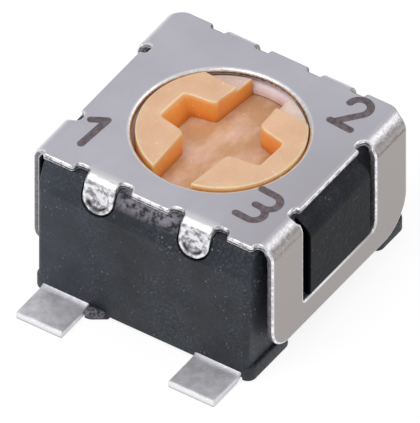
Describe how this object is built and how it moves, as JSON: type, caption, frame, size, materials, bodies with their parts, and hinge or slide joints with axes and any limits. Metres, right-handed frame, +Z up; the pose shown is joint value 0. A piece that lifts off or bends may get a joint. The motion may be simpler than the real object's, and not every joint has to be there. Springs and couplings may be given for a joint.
{
  "type": "trimmer potentiometer",
  "caption": "Surface-mount sealed trimmer potentiometer with a folded steel cover, a cross-slot rotor and three flat terminals",
  "frame": {"origin": "centre of the housing on the board plane", "axes": "X runs along the front from terminal 1 to terminal 3, Y runs from the front to the back towards terminal 2, Z is up and away from the board"},
  "size_m": [0.0046, 0.006, 0.0027],
  "materials": {
    "moulded_black_plastic": "moulded glass-filled plastic, dark grey, fine matt grain with light specks",
    "stainless_sheet": "satin rolled stainless sheet, bright mottled bends and sheared edges",
    "peach_plastic": "moulded peach-orange plastic, satin",
    "silicone_rubber": "smooth pale pink-grey silicone, slightly glossy",
    "spring_alloy": "bright rolled spring alloy",
    "alumina": "unglazed white alumina",
    "cermet_film": "fired thick film, dark and matt",
    "silver_film": "fired silver thick film, satin",
    "tinned_terminal": "matt tin plate on copper alloy, fine rolling lines",
    "silver_adhesive": "cured silver-filled adhesive"
  },
  "bodies": {
    "base": {"housing": "moulded_black_plastic", "cover": "stainless_sheet", "ceramic_substrate": "alumina", "resistive_track": "cermet_film", "end_electrode_1": "silver_film", "end_electrode_3": "silver_film", "collector_electrode": "silver_film", "terminal_1": "tinned_terminal", "terminal_2": "tinned_terminal", "terminal_3": "tinned_terminal", "conductive_bond_1": "silver_adhesive", "conductive_bond_2": "silver_adhesive", "conductive_bond_3": "silver_adhesive"},
    "rotor": {"rotor": "peach_plastic", "o_ring": "silicone_rubber", "wiper": "spring_alloy"}
  },
  "joints": [
    {"name": "rotor_turn", "type": "hinge", "parent": "base", "child": "rotor", "pos_m": [0.00003, 0, 0.0019], "axis": [0, 0, 1], "range_deg": [-122, 128]}
  ]
}
